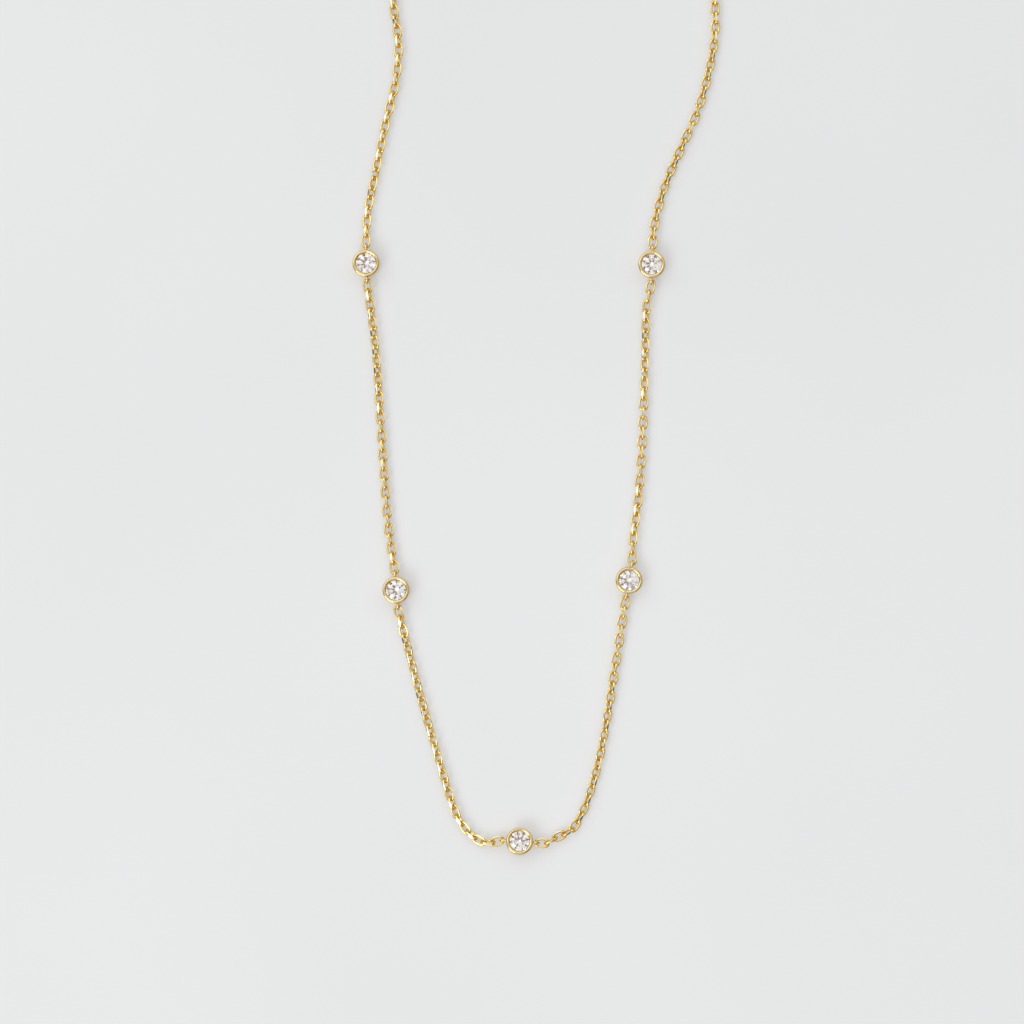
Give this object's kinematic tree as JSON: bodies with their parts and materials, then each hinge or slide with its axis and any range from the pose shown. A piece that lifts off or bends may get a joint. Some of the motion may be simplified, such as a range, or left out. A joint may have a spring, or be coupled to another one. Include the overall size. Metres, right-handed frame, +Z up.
{
  "type": "station necklace",
  "caption": "Fine cable-chain necklace with round clear stones in plain bezels set along it as stations, closed at the back, lying open and flat.",
  "frame": {"origin": "centre of the necklace's outline, on the surface that it lies on", "axes": "+Y from the front stone towards the clasp, +Z up from the surface, +X to the right seen from above"},
  "size_m": [0.065, 0.1854, 0.0031],
  "materials": {
    "chain_gold": "polished gold plate with a flat bright cut on both sides of each link",
    "setting_gold": "polished gold plate",
    "stone": "clear, polished facets"
  },
  "bodies": {
    "root": {"chain_back_left": "chain_gold", "chain_upper_left": "chain_gold", "chain_lower_left": "chain_gold", "chain_lower_right": "chain_gold", "chain_upper_right": "chain_gold", "chain_back_right": "chain_gold", "bezel_high_left": "setting_gold", "bezel_low_left": "setting_gold", "bezel_front": "setting_gold", "bezel_low_right": "setting_gold", "bezel_high_right": "setting_gold", "stone_high_left": "stone", "stone_low_left": "stone", "stone_front": "stone", "stone_low_right": "stone", "stone_high_right": "stone", "clasp": "setting_gold"}
  },
  "joints": []
}
